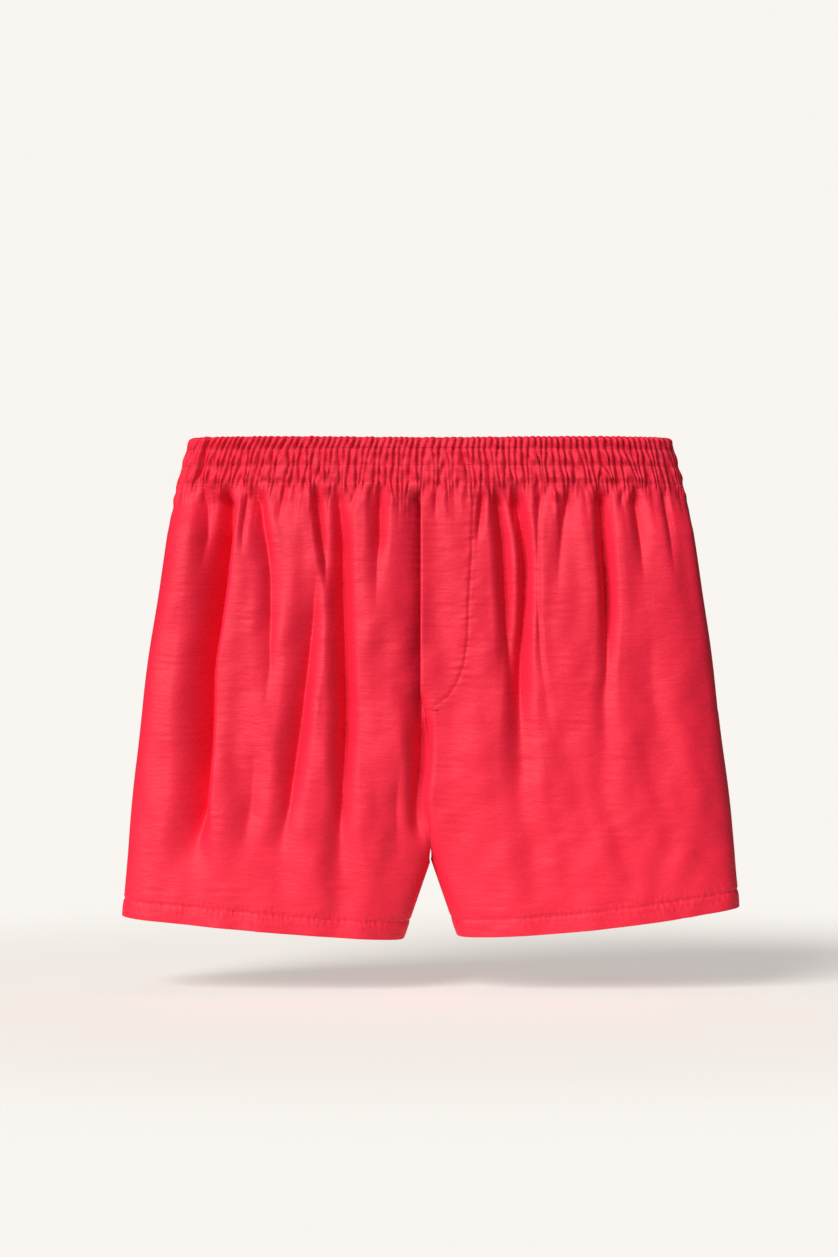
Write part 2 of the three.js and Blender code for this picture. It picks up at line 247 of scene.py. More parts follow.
# Each fold is a sharp valley with a long slope on the wearer's right and a shorter one on the left:
# the two widths and the depth, then points down its line. A point is the distance from the middle,
# the height above the lowest hem and the share of the depth. All in mm.
FRONT_FOLDS = (
    (9, 7, 4.6, ((-171, 346, 0.6), (-172, 318, 0.8), (-172, 305, 0.7), (-174, 290, 0.3),
                 (-176, 275, 0))),
    (5, 5, 3.0, ((-154, 346, 0.8), (-153.5, 310, 1), (-156, 292, 0.4), (-158, 280, 0))),
    (19, 9, 14.0, ((-155, 346, 0.2), (-156, 322, 0.75), (-158, 300, 1), (-161, 272, 1), (-166, 236, 1),
                   (-171, 200, 1), (-172, 142, 0.95), (-174, 100, 0.75), (-180, 66, 0.4),
                   (-188, 25, 0.1))),
    (4, 5, 2.6, ((-139, 346, 1), (-139, 332, 1), (-141.5, 310, 0.7), (-142, 292, 0))),
    (4, 4, 1.8, ((-128.5, 346, 1), (-128.5, 325, 0.6), (-127, 305, 0))),
    (11, 9, 4.6, ((-133, 346, 0.7), (-131, 332, 0.9), (-125, 300, 1), (-122, 280, 0.8),
                  (-121, 250, 0.75), (-121, 205, 0.45), (-124, 175, 0))),
    (4, 5, 2.4, ((-109.5, 346, 1), (-111, 335, 0.9), (-114, 322, 0.3), (-115, 314, 0))),
    (5, 9, 5.0, ((-88, 346, 0.9), (-86, 330, 1), (-83, 305, 1), (-80, 285, 0.6), (-79, 265, 0))),
    (12, 9, 8.0, ((-71, 346, 0.3), (-69, 325, 0.6), (-67, 300, 0.9), (-67, 262, 1), (-66, 230, 1),
                  (-64, 180, 1), (-64, 150, 0.95), (-65, 115, 0.75), (-66, 80, 0.5), (-67, 40, 0.4),
                  (-68, 0, 0.3))),
    (14, 10, 6.0, ((-86, 282, 0), (-87, 262, 0.4), (-90, 231, 0.8), (-96, 180, 1), (-102, 135, 1),
                   (-106, 101, 0.8), (-112, 69, 0.4), (-118, 35, 0.2), (-120, 10, 0))),
    (4, 5, 2.2, ((-57, 346, 1), (-58, 335, 0.8), (-61, 322, 0))),
    (9, 7, 4.6, ((-39, 346, 0.9), (-38.5, 330, 1), (-38.5, 300, 0.95), (-40, 286, 0.45),
                 (-41, 262, 0.12), (-41, 250, 0))),
    (14, 8, 8.0, ((-7, 190, 0), (-6.5, 175, 0.5), (-6, 160, 1), (-5.5, 120, 0.9), (-6.5, 95, 0.7),
                  (-7.5, 72, 0.4), (-8, 48, 0))),
    (12, 12, 2.4, ((-22, 140, 0), (-23, 112, 0.7), (-23, 70, 1), (-23, 36, 0.7), (-23, 5, 0.3))),
    (4, 4, 1.8, ((5, 346, 0.8), (4, 330, 0.6), (3, 318, 0))),
    (4, 5, 3.0, ((38, 346, 1), (39, 332, 1), (36.5, 310, 0.5), (35, 298, 0))),
    (9, 9, 6.5, ((50, 346, 0.8), (52, 325, 0.9), (55, 300, 1), (57, 262, 1), (58, 235, 0.8),
                 (60, 205, 0.35), (62, 185, 0))),
    (5, 5, 2.6, ((61, 346, 1), (63, 325, 0.8), (64, 308, 0))),
    (10, 7, 7.5, ((64, 346, 0.5), (67, 325, 0.9), (70, 308, 1), (72.5, 285, 1), (72, 252, 1),
                  (69, 215, 1), (67.5, 177, 1), (67.5, 140, 0.9), (69, 100, 0.75), (75, 60, 0.6),
                  (81, 25, 0.3))),
    (5, 3, 1.1, ((82, 346, 0.7), (81, 300, 1), (81, 250, 1), (83, 212, 0.7), (89, 165, 0.4),
                 (97, 140, 0))),
    (4, 4, 2.2, ((85, 346, 0.8), (83, 328, 0.6), (83, 315, 0))),
    (8, 9, 3.2, ((106, 346, 0.9), (104, 330, 0.9), (100, 312, 0.6), (97, 285, 0.4), (96, 262, 0))),
    (9, 6, 7.0, ((129, 346, 0.7), (131.5, 330, 0.9), (133, 300, 0.95), (135, 270, 1), (136, 240, 0.85),
                 (134, 210, 0.4), (131, 180, 0.3), (131, 130, 0.35), (134, 95, 0.3), (146, 60, 0.25),
                 (154, 20, 0))),
    (4, 4, 2.0, ((147, 346, 0.8), (145, 335, 0.6), (143, 322, 0))),
    (8, 7, 4.0, ((156, 346, 0.9), (157, 328, 0.9), (159, 310, 0.8), (160, 295, 0.4), (161, 270, 0))),
    (5, 5, 2.6, ((176, 346, 0.9), (179.5, 325, 0.8), (182, 300, 0.4), (184, 275, 0))),
    (14, 12, 2.6, ((16, 180, 0), (17, 163, 0.7), (21, 110, 1), (28, 50, 0.7), (32, 5, 0.3))),
    (10, 10, -1.0, ((203, 120, 0), (210, 92, 0.7), (220, 60, 1), (226, 38, 0.8), (230, 10, 0.5))),
    (18, 16, 3.2, ((166, 232, 0), (168, 200, 0.6), (172, 150, 1), (180, 95, 0.8), (188, 40, 0.4),
                   (190, 10, 0.2))),
    (18, 16, 2.6, ((104, 190, 0), (106, 150, 0.8), (108, 100, 1), (116, 50, 0.7), (120, 10, 0.3))),
    (16, 14, 2.6, ((-132, 150, 0), (-134, 110, 0.8), (-140, 70, 1), (-146, 30, 0.6), (-150, 8, 0.3))),
)
BACK_FOLDS = (
    (18, 10, 7.0, ((-168, 346, 0.7), (-165, 300, 1), (-160, 220, 0.9), (-165, 130, 0.4),
                   (-172, 70, 0))),
    (5, 5, 2.6, ((-148, 346, 1), (-147, 325, 0.7), (-146, 305, 0))),
    (11, 9, 6.0, ((-118, 346, 0.8), (-116, 290, 1), (-112, 220, 0.8), (-106, 150, 0.3),
                  (-102, 110, 0))),
    (5, 5, 2.6, ((-96, 346, 1), (-96, 325, 0.7), (-95, 305, 0))),
    (12, 9, 7.5, ((-70, 346, 0.7), (-67, 290, 1), (-60, 210, 0.9), (-60, 120, 0.5), (-72, 50, 0.2),
                  (-78, 5, 0.1))),
    (6, 6, 3.4, ((-43, 346, 0.9), (-42, 310, 0.8), (-42, 275, 0))),
    (10, 8, 5.0, ((-18, 346, 0.7), (-17, 300, 0.9), (-19, 220, 0.7), (-24, 150, 0.2), (-26, 120, 0))),
    (5, 5, 2.6, ((9, 346, 1), (9, 320, 0.7), (9, 295, 0))),
    (10, 9, 5.5, ((31, 346, 0.3), (33, 280, 0.8), (37, 200, 0.7), (45, 110, 0.35), (52, 40, 0))),
    (5, 5, 2.4, ((55, 346, 1), (55, 325, 0.6), (55, 308, 0))),
    (12, 9, 6.5, ((84, 346, 0.7), (86, 290, 1), (91, 210, 0.9), (103, 120, 0.4), (112, 60, 0))),
    (5, 5, 2.6, ((112, 346, 1), (112, 322, 0.6), (113, 300, 0))),
    (11, 9, 5.5, ((139, 346, 0.8), (140, 290, 0.9), (146, 200, 0.6), (152, 120, 0))),
    (7, 7, 3.6, ((168, 346, 0.9), (168, 310, 0.8), (170, 260, 0.4), (171, 220, 0))),
)


def smoothed_line(points, levels):
    """Column values read off a line of points at each level, rounded by a bell about 20 mm long."""
    spread = np.exp(-(np.linspace(-2.2, 2.2, 11) ** 2))
    spread /= spread.sum()
    line = np.array(points, float)
    line = line[np.argsort(line[:, 1])]
    columns = []
    for column in range(line.shape[1]):
        if column != 1:
            values = np.interp(levels, line[:, 1] * MM, line[:, column])
            columns.append(np.convolve(np.pad(values, 5, mode="edge"), spread, mode="valid"))
    return columns


LEVELS = np.linspace(-20 * MM, 370 * MM, 196)


def fold_relief(folds, x, height):
    """Sum of the folds. To each side of its line a fold's floor climbs as the square of the
    distance left to its edge, so that it is steep at the valley and rounded at the shoulder, and the
    cloth beyond stands slightly proud. Towards the hem a fold grows wider and its valley rounder."""
    total = np.zeros(x.shape)
    gain = 2.3 if folds is FRONT_FOLDS else 1.5
    for left, right, depth, points in folds:
        centres, shares = smoothed_line(points, LEVELS)
        offset = x - np.interp(height, LEVELS, centres) * MM
        share = np.interp(height, LEVELS, shares)
        rounding = (95 * MM, 235 * MM) if points[0][0] > 0 else (25 * MM, 105 * MM)
        low = 1 - smooth(*rounding, height)
        width = np.where(offset < 0, 1.3 * left, 1.35 * mix(right, left, low)) * (1 + 0.6 * low) * MM
        t = np.sqrt((offset / width) ** 2 + (0.05 + 0.40 * low) ** 2)
        valley = -np.clip(1 - t, 0, 1) ** 2
        total += gain * depth * MM * share * (valley + 0.04 * bump(t, 1.45, 0.6))
    return total


FLY_EDGE = ((-7.4, 350), (-7.6, 184), (-5.2, 173), (-2.6, 160), (0.0, 140))
FLY_LINE = ((33, 350), (31.5, 318), (30.8, 293), (28.5, 258), (27.7, 227), (25.2, 209), (19.7, 194),
            (12.9, 184), (3.4, 177), (-4.0, 171))
FLY_LOW = -GARMENT_LENGTH + 171 * MM


def fly_edge(z):
    """Distance from the middle to the fly's free edge, on the wearer's left front."""
    line = np.array(FLY_EDGE[::-1]) * MM
    return np.interp(z + GARMENT_LENGTH, line[:, 1], line[:, 0])


def fly_line(z):
    """Distance from the middle to the stitches that hold the fly's facing: straight, then a hook."""
    fine = np.linspace(160 * MM, 360 * MM, 401)
    line = np.array(FLY_LINE[::-1]) * MM
    across = np.interp(fine, line[:, 1], line[:, 0])
    spread = np.exp(-(np.linspace(-2.2, 2.2, 17) ** 2))
    across = np.convolve(np.pad(across, 8, mode="edge"), spread / spread.sum(), mode="valid")
    return np.interp(z + GARMENT_LENGTH, fine, across)


def fly_relief(side, x, z):
    """The fly. The wearer's right front sinks towards the free edge that lies over it. The left
    front is thicker inside its line of stitches, which pull a puckered groove."""
    height = z + GARMENT_LENGTH
    inside_fly = smooth(158 * MM, 186 * MM, height)
    if side < 0:
        t = np.clip(1 + (x - fly_edge(z) - 0.5 * MM) / (24 * MM), 0, 1)
        entry = smooth(-STITCH_ROWS[2] - 1 * MM, -STITCH_ROWS[2] - 20 * MM, z)
        depth = mix(5 * MM, 13 * MM, entry)
        return -depth * t**2 * inside_fly * smooth(-STITCH_ROWS[2], -STITCH_ROWS[2] - 9 * MM, z)
    slope = (fly_line(z + 0.5 * MM) - fly_line(z - 0.5 * MM)) / MM
    off = (x - fly_line(z)) / np.sqrt(1 + slope**2)
    held = smooth(FLY_LOW - 2 * MM, FLY_LOW + 3 * MM, z)
    groove = -0.55 * bump(off, 0, 1.2 * MM)
    tucks = 0.30 * ripples(off, height, 6 * MM, seed=51, stretch=2.5, count=14) * bump(off, 0, 5 * MM)
    edge = x - fly_edge(z)
    roll = 1.2 * np.exp(-np.maximum(edge, 0) / (9 * MM)) - 1.3 * np.exp(-np.maximum(edge, 0) / (0.6 * MM))
    return (held * (groove + tucks - 0.35 * smooth(-1.5 * MM, 1.5 * MM, off)) + inside_fly * roll) * MM


def body_relief(face, side, angle, v, x, z):
    """How far the cloth stands off the plain body at each point of a panel."""
    height = z + GARMENT_LENGTH
    above_hem = (1 - v) * (PANEL_TOP - hem_edge(x, side))
    whole = np.arccos(np.clip(x / half_width(v), -1, 1))
    turn = ring_turn(whole if face == BACK else -whole)
    down = -z
    joined = smooth(STITCH_ROWS[2] + CASING_LAP, STITCH_ROWS[2] + 17 * MM, down) ** 0.8
    folds = fold_relief(FRONT_FOLDS if face == FRONT else BACK_FOLDS, x, height)
    seed = 11 if face == FRONT else 31
    broad = ripples(x, height, 95 * MM, seed=seed, stretch=0.55)
    soft = ripples(x, height, 34 * MM, seed=seed + 1, stretch=0.8)
    crinkle = ripples(x, height + 0.12 * x, 7.5 * MM, seed=seed + 2, stretch=3.4)
    patchy = 0.6 + 0.4 * np.clip(ripples(x, height, 60 * MM, seed=seed + 4, count=12), -1, 1.5)
    lower = smooth(-45 * MM, -150 * MM, z)
    relief = folds + (0.8 * broad * lower + 0.26 * soft * lower + 0.13 * crinkle * patchy) * MM
    at_side = bump(angle, 0, 0.30)
    crotch = smooth(CROTCH_V - 0.10, CROTCH_V, v)
    inner = np.where(v < CROTCH_V, inner_angle(0.0, v), math.pi)
    at_inseam = crotch * bump(angle, inner, 0.45)
    side_wave = 0.8 * MM * np.sin(height / (23 * MM) + side) * np.sin(height / (61 * MM) + 2 * side)
    relief = relief * (1 - at_side) * (1 - at_inseam) + side_wave * at_side
    seam_line = x - seam_sway(z)
    closed = 1.0 if face == BACK else 1 - smooth(150 * MM, 172 * MM, height)
    groove = -0.7 * bump(seam_line, 0, 1.5 * MM) * closed * (v < CROTCH_V)
    hem_pull = -0.95 * bump(above_hem, HEM_STITCH_HEIGHT, 1.2 * MM) + 0.30 * bump(above_hem, 6 * MM, 6 * MM)
    hem_pucker = ripples(x, above_hem, 9 * MM, seed=seed + 3, stretch=0.5)
    near_hem = bump(above_hem, HEM_STITCH_HEIGHT - 1 * MM, 7 * MM)
    relief += (groove + hem_pull + 0.13 * hem_pucker * near_hem * (1 - at_inseam) * (1 - at_side)) * MM
    if face == FRONT:
        relief += fly_relief(side, x, z)
        join = x + 132.5 * MM
        in_hem = smooth(14.5 * MM, 12.5 * MM, above_hem)
        relief += in_hem * (0.9 * smooth(-0.4 * MM, 0.4 * MM, join) * bump(join, 0, 9 * MM)
                            - 0.9 * bump(join, 0, 0.9 * MM)) * MM
    return joined * relief + waist_relief(turn, down)


def body_point(side, face, angle, v, sink=0.0, relief=body_relief):
    """Points of the clothed body. They stand off the ellipse along its own outward direction,
    which is turned straight to the front or back at the seam in the middle. The front is flatter than
    the ellipse: its depth goes as the sine to a power under 1, which has no value past its edges."""
    angle, v = np.broadcast_arrays(np.asarray(angle, float), np.asarray(v, float))
    centre = leg_centre(v)
    width = half_width(v) - centre
    depth = half_depth(face, v)
    x = centre + width * np.cos(angle)
    fuller = FRONT_FLATNESS * smooth(0, 0.12, v) if face == FRONT else 0.0
    y = face * depth * np.sin(angle) ** (1 - fuller)
    z = mix(PANEL_TOP, hem_edge(x, side), v)
    across = np.cos(angle) / width
    outward = face * np.sin(angle) / depth
    at_middle = bump(x, 0, 9 * MM) * (1 - smooth(CROTCH_V - 0.03, CROTCH_V, v))
    across = across * (1 - at_middle)
    size = np.hypot(across, outward)
    stand = relief(face, side, angle, v, side * x, z) - sink
    sway = seam_sway(z) * bump(x, 0, 30 * MM)
    return np.stack([side * (x + across / size * stand) + sway, y + outward / size * stand, z], axis=-1)


def seam_sway(z):
    """The middle seam wanders a little below the fly."""
    height = z + GARMENT_LENGTH
    return -2.6 * MM * bump(height, 105 * MM, 22 * MM) * smooth(55 * MM, 75 * MM, height)


def no_relief(face, side, angle, v, x, z):
    """The plain body, for the pieces behind the fly."""
    return 0 * x


def place_on_body(side, face, x, z, sink=0.0, relief=body_relief):
    """A point of the clothed body at a distance x from the middle and a height z. The side is the
    wearer's left if positive, and x is measured towards that side."""
    v = (PANEL_TOP - z) / (PANEL_TOP - hem_edge(x, side))
    return body_point(side, face, inner_angle(x, v), v, sink, relief)


def band_point(angle, down, inset):
    """A point of the waistband: its outer face, its rolled top and its inner face share this. The
    inset is measured inwards along the ellipse's own direction."""
    t = down / -PANEL_TOP
    width = mix(WAIST_HALF_WIDTH, PANEL_TOP_HALF_WIDTH, t)
    depth = mix(WAIST_HALF_DEPTH, PANEL_TOP_HALF_DEPTH, t)
    across = np.cos(angle) / width
    outward = np.sin(angle) / depth
    size = np.hypot(across, outward)
    x = width * np.cos(angle) - across / size * inset
    y = depth * np.sin(angle) - outward / size * inset
    return np.stack([x, y, -down + 0 * x], axis=-1)


# ---- Meshes --------------------------------------------------------------------------------------


def make_object(name, points, faces, flat, material):
    """A smooth mesh. flat holds each point's place on the flat cloth, in metres, for the UV map."""
    mesh = bpy.data.meshes.new(name)
    mesh.from_pydata(points.reshape(-1, 3).tolist(), [], faces)
    layer = mesh.uv_layers.new(name="cloth")
    corners = np.zeros(len(mesh.loops), dtype=np.int32)
    mesh.loops.foreach_get("vertex_index", corners)
    layer.data.foreach_set("uv", flat.reshape(-1, 2)[corners].ravel().astype(np.float32))
    mesh.shade_smooth()
    mesh.materials.append(material)
    mesh.update()
    piece = bpy.data.objects.new(name, mesh)
    bpy.context.scene.collection.objects.link(piece)
    return piece


def grid_object(name, points, material, closed=False, flip=False, flat=None, capped=False):
    """A mesh from a grid of points. closed joins the last column to the first, and capped also closes
    the two ends of such a loop, from each half of the end row across to the other."""
    rows, columns = points.shape[:2]
    index = np.arange(rows * columns).reshape(rows, columns)
    following = np.roll(index, -1, axis=1) if closed else index[:, 1:]
    here = index if closed else index[:, :-1]
    faces = np.stack([here[:-1], following[:-1], following[1:], here[1:]], axis=-1).reshape(-1, 4)
    if capped:
        half = columns // 2 - 1
        near, far = index[:, : half + 1], index[:, : -half - 2 : -1]
        last = np.stack([near[-1, :-1], near[-1, 1:], far[-1, 1:], far[-1, :-1]], axis=-1)
        first = np.stack([near[0, 1:], near[0, :-1], far[0, :-1], far[0, 1:]], axis=-1)
        faces = np.concatenate([faces, last, first])
    if flip:
        faces = faces[:, ::-1]
    flat = flat_lengths(points) if flat is None else flat
    return make_object(name, points, faces.tolist(), flat, material)


def flat_lengths(points):
    """Distance along the columns and down the rows of a grid, for the UV map."""
    across = np.linalg.norm(np.diff(points, axis=1), axis=2)
    down = np.linalg.norm(np.diff(points, axis=0), axis=2)
    across = np.concatenate([np.zeros((points.shape[0], 1)), np.cumsum(across, axis=1)], axis=1)
    down = np.concatenate([np.zeros((1, points.shape[1])), np.cumsum(down, axis=0)], axis=0)
    down = np.repeat(down.mean(axis=1, keepdims=True), points.shape[1], axis=1)
    return np.stack([across, -down], axis=-1)


def normals(surface, a, b, sign):
    """Unit normals of surface(a, b), from its change over small steps of a and b."""
    step = 0.05 * MM
    turn = np.cross(surface(a + step, b) - surface(a - step, b), surface(a, b + step) - surface(a, b - step))
    return sign * turn / np.linalg.norm(turn, axis=-1, keepdims=True)


def evenly(points, spacing):
    """Places on a line of points, as indexes with a fraction, that lie an even spacing apart."""
    arc = np.concatenate([[0], np.cumsum(np.linalg.norm(np.diff(points, axis=0), axis=1))])
    wanted = np.arange(spacing / 2, arc[-1], spacing)
    return np.interp(wanted, arc, np.arange(len(arc)))


def stitch_object(name, centres, tangents, outward, length, thickness, material):
    """Stitches in one mesh. Each is a tube along its tangent whose radius falls as the root of
    1 - s^4 towards its ends, s from -1 to 1, and which arches off the cloth as 1 - s^2."""
    count = len(centres)
    tangents = tangents / np.linalg.norm(tangents, axis=-1, keepdims=True)
    across = np.cross(outward, tangents)
    across /= np.linalg.norm(across, axis=-1, keepdims=True)
    s = np.array([-0.93, -0.5, 0.5, 0.93])
    around = np.linspace(0, 2 * math.pi, 6, endpoint=False)
    radius = thickness / 2 * np.sqrt(1 - s**4)
    lift = thickness * (0.45 * (1 - s**2) - 0.05)
    spine = centres[:, None] + tangents[:, None] * (s * length / 2)[:, None]
    spine = spine + outward[:, None] * lift[:, None]
    ring = across[:, None, None] * np.cos(around)[:, None]
    ring = ring + outward[:, None, None] * np.sin(around)[:, None]
    rings = spine[:, :, None] + ring * radius[:, None, None]
    ends = centres[:, None] + tangents[:, None] * (np.array([-1, 1]) * length / 2)[:, None]
    points = np.concatenate([rings.reshape(count, 24, 3), ends], axis=1)
    base = np.arange(24).reshape(4, 6)
    beside = np.roll(base, -1, axis=1)
    quads = np.stack([base[:-1], beside[:-1], beside[1:], base[1:]], axis=-1).reshape(-1, 4)[:, ::-1]
    caps = np.concatenate([np.stack([base[0], beside[0], 0 * base[0] + 24], axis=-1),
                           np.stack([beside[3], base[3], 0 * base[3] + 25], axis=-1)])
    start = 26 * np.arange(count)[:, None, None]
    faces = (quads + start).reshape(-1, 4).tolist() + (caps + start).reshape(-1, 3).tolist()
    flat = np.zeros((count, 26, 2))
    flat[:, :24, 0] = np.repeat(s * length / 2, 6)
    flat[:, :24, 1] = np.tile(around * thickness / 2, 4)
    flat[:, 24, 0], flat[:, 25, 0] = -length / 2, length / 2
    return make_object(name, points, faces, flat, material)


def ply_points(surface, a, b, thin, thick):
    """A thin closed piece from surface(a, b, sink): the outer face, then the inner face back again.
    It thins to a third along its first and last rows."""
    fade = np.ones((len(b), 1))
    fade[0], fade[-1] = 0.33, 0.33
    middle = (thin + thick) / 2
    half = (thick - thin) / 2 * fade
    front = surface(a[None, :] + 0 * b[:, None], b[:, None] + 0 * a[None, :], middle - half)
    back = surface(a[None, ::-1] + 0 * b[:, None], b[:, None] + 0 * a[None, :], middle + half)
    return np.concatenate([front, back], axis=1)


def belongs(piece, slot, *nodes):
    """Puts a piece on the body and hides the CAD nodes that it stands for. The slot is not used."""
    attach(piece, BODY)
    if nodes:
        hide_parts(*nodes)
    return piece


# ---- Shades that have no property, as sRGB hex text ----------------------------------------------

ELASTIC_SHADE = "cfc8bd"
LABEL_SHADE = "e9e5de"
PAPER_SHADE = "b8b4ae"
BACKDROP_SHADE = "f9f5f0"
SKY_SHADE = "fffdfa"

# ---- Materials -----------------------------------------------------------------------------------


def linear(hex_colour):
    """sRGB hex text to linear RGBA."""
    channels = [int(hex_colour[i:i + 2], 16) / 255 for i in (0, 2, 4)]
    return [c / 12.92 if c <= 0.04045 else ((c + 0.055) / 1.055) ** 2.4 for c in channels] + [1.0]


def add(tree, kind, inputs=None, **settings):
    """Adds a node. An input's value is a plain value, or another node's socket to link."""
    node = tree.nodes.new(kind)
    for name, value in settings.items():
        setattr(node, name, value)
    for name, value in (inputs or {}).items():
        if isinstance(value, bpy.types.NodeSocket):
            tree.links.new(value, node.inputs[name])
        else:
            node.inputs[name].default_value = value
    return node


def start_material(name):
    """A new material with its node tree and its shader."""
    material = bpy.data.materials.new(name)
    material.use_nodes = True
    tree = material.node_tree
    return material, tree, tree.nodes["Principled BSDF"]


def flat_place(tree):
    """The place on the flat cloth, in metres."""
    return add(tree, "ShaderNodeUVMap", uv_map="cloth").outputs[0]


def scaled(tree, place, cycles, **settings):
    """Coordinates with a number of cycles to the metre along each direction."""
    return add(tree, "ShaderNodeMapping", {"Vector": place, "Scale": cycles, **settings}).outputs[0]


def noise(tree, place, cycles, detail, roughness=0.5):
    """Noise with a number of cycles to the metre along each direction."""
    values = {"Vector": scaled(tree, place, cycles), "Scale": 1.0, "Detail": detail, "Roughness": roughness}
    return add(tree, "ShaderNodeTexNoise", values).outputs["Fac"]


def two_tones(tree, shader, share, low, high):
    """Colours the shader from low to high, both hex text."""
    values = {"Factor": share, "A": linear(low), "B": linear(high)}
    colour = add(tree, "ShaderNodeMix", values, data_type="RGBA")
    tree.links.new(colour.outputs["Result"], shader.inputs["Base Color"])


def emboss(tree, shader, height, strength, distance):
    """Raises the surface by a height from 0 to 1 that stands for a distance in metres."""
    relief = add(tree, "ShaderNodeBump", {"Height": height, "Strength": strength, "Distance": distance})
    tree.links.new(relief.outputs[0], shader.inputs["Normal"])


def woven_crinkle_viscose(colours):
    """Lightweight plain weave with a slubby, crinkled weft and a soft satin bloom. The slubs are about
    12 by 1.7 mm and the crepe 6 by 2.4 mm. The yarns are drawn 0.7 by 1.6 mm, coarser than real ones
    of about 0.25 mm, and both slubs and crepe tilt by 5 degrees."""
    material, tree, shader = start_material("woven crinkle viscose")
    flat = flat_place(tree)
    place = add(tree, "ShaderNodeTexCoord").outputs["Object"]
    tilt = {"Vector": place, "Rotation": (0, 0.09, 0)}
    tilted = add(tree, "ShaderNodeMapping", tilt, vector_type="TEXTURE").outputs[0]
    slub = noise(tree, tilted, (85, 85, 600), 3.0, 0.6)
    crepe = noise(tree, tilted, (170, 170, 420), 2.0)
    yarn = noise(tree, flat, (1500, 620, 1), 1.0)
    blotch = noise(tree, flat, (22, 22, 1), 2.0)
    tone = add(tree, "ShaderNodeMath", {0: slub, 1: yarn}, operation="ADD").outputs[0]
    tone = add(tree, "ShaderNodeMath", {0: tone, 1: blotch}, operation="ADD").outputs[0]
    share = add(tree, "ShaderNodeMapRange", {"Value": tone, "From Min": 1.05, "From Max": 1.95})
    two_tones(tree, shader, share.outputs[0], colours.cloth_dark, colours.cloth)
    span = {"Value": slub, "From Min": 0.3, "From Max": 0.7, "To Min": 0.68, "To Max": 0.60}
    gloss = add(tree, "ShaderNodeMapRange", span)
    tree.links.new(gloss.outputs[0], shader.inputs["Roughness"])
    rise = add(tree, "ShaderNodeMath", {0: slub, 1: crepe}, operation="ADD").outputs[0]
    rise = add(tree, "ShaderNodeMath", {0: yarn, 1: 0.5, 2: rise}, operation="MULTIPLY_ADD").outputs[0]
    emboss(tree, shader, rise, 0.45, 0.8 * MM)
    shader.inputs["IOR"].default_value = 1.53
    shader.inputs["Specular IOR Level"].default_value = 0.38
    return material


def twisted_polyester_thread(colours):
    """Sewing thread: a two-ply twist with a slight shine, its bands about 0.4 mm apart."""
    material, tree, shader = start_material("twisted polyester thread")
    flat = flat_place(tree)
    place = scaled(tree, flat, (900, 600, 1), Rotation=(0, 0, 0.7))
    twist = add(tree, "ShaderNodeTexWave", {"Vector": place, "Scale": 1.0, "Distortion": 0.6}).outputs["Fac"]
    two_tones(tree, shader, twist, colours.thread_dark, colours.thread)
    emboss(tree, shader, twist, 0.4, 0.1 * MM)
    shader.inputs["Roughness"].default_value = 0.42
    return material


def knitted_elastic_tape(colours):
    """Knitted elastic: matt loops of covered rubber, each about 1.4 by 1.9 mm."""
    material, tree, shader = start_material("knitted elastic tape")
    flat = flat_place(tree)
    values = {"Vector": scaled(tree, flat, (700, 520, 1)), "Scale": 1.0, "Randomness": 0.35}
    knit = add(tree, "ShaderNodeTexVoronoi", values).outputs["Distance"]
    two_tones(tree, shader, knit, colours.elastic, ELASTIC_SHADE)
    emboss(tree, shader, knit, 0.6, 0.4 * MM)
    shader.inputs["Roughness"].default_value = 0.85
    return material


def satin_label_tape(colours):
    """Blank white satin tape: glossy ribs about 0.9 mm apart that run across it."""
    material, tree, shader = start_material("satin label tape")
    flat = flat_place(tree)
    rib = noise(tree, flat, (120, 1100, 1), 1.0)
    two_tones(tree, shader, rib, LABEL_SHADE, colours.label)
    emboss(tree, shader, rib, 0.3, 0.2 * MM)
    shader.inputs["Roughness"].default_value = 0.35
    return material


def studio_paper(colours):
    """Matt studio paper with a tooth of about 1 mm. It glows a little, which keeps shadows soft, and
    fades away towards its round edge."""
    material, tree, shader = start_material("matt studio paper")
    place = add(tree, "ShaderNodeTexCoord").outputs["Object"]
    tooth = add(tree, "ShaderNodeTexNoise", {"Vector": place, "Scale": 900.0}).outputs["Fac"]
    emboss(tree, shader, tooth, 0.05, 0.2 * MM)
    level = add(tree, "ShaderNodeVectorMath", {0: place, 1: (1, 1, 0)}, operation="MULTIPLY")
    away = add(tree, "ShaderNodeVectorMath", {0: level.outputs[0]}, operation="LENGTH").outputs["Value"]
    span = {"Value": away, "From Min": 0.35, "From Max": 0.85, "To Min": 1.0, "To Max": 0.0}
    fade = add(tree, "ShaderNodeMapRange", span, interpolation_type="SMOOTHSTEP")
    tree.links.new(fade.outputs[0], shader.inputs["Alpha"])
    shader.inputs["Base Color"].default_value = linear(PAPER_SHADE)
    # Painted light: the floor glows in the paper colour, which lifts the shadows that fall on it.
    shader.inputs["Emission Color"].default_value = linear(colours.paper)
    shader.inputs["Emission Strength"].default_value = 0.5
    shader.inputs["Roughness"].default_value = 0.95
    shader.inputs["Specular IOR Level"].default_value = 0.0
    return material


MAKERS = {
    "woven_cloth": woven_crinkle_viscose,
    "sewing_thread": twisted_polyester_thread,
    "elastic_tape": knitted_elastic_tape,
    "label_tape": satin_label_tape,
    "paper": studio_paper,
}
MADE = {}


def finish_of(slot, context):
    """The material of a slot, made the first time that it is asked for."""
    if slot not in MADE:
        MADE[slot] = MAKERS[slot](context.scene.shorts_colours)
    return MADE[slot]


# ---- Properties ----------------------------------------------------------------------------------


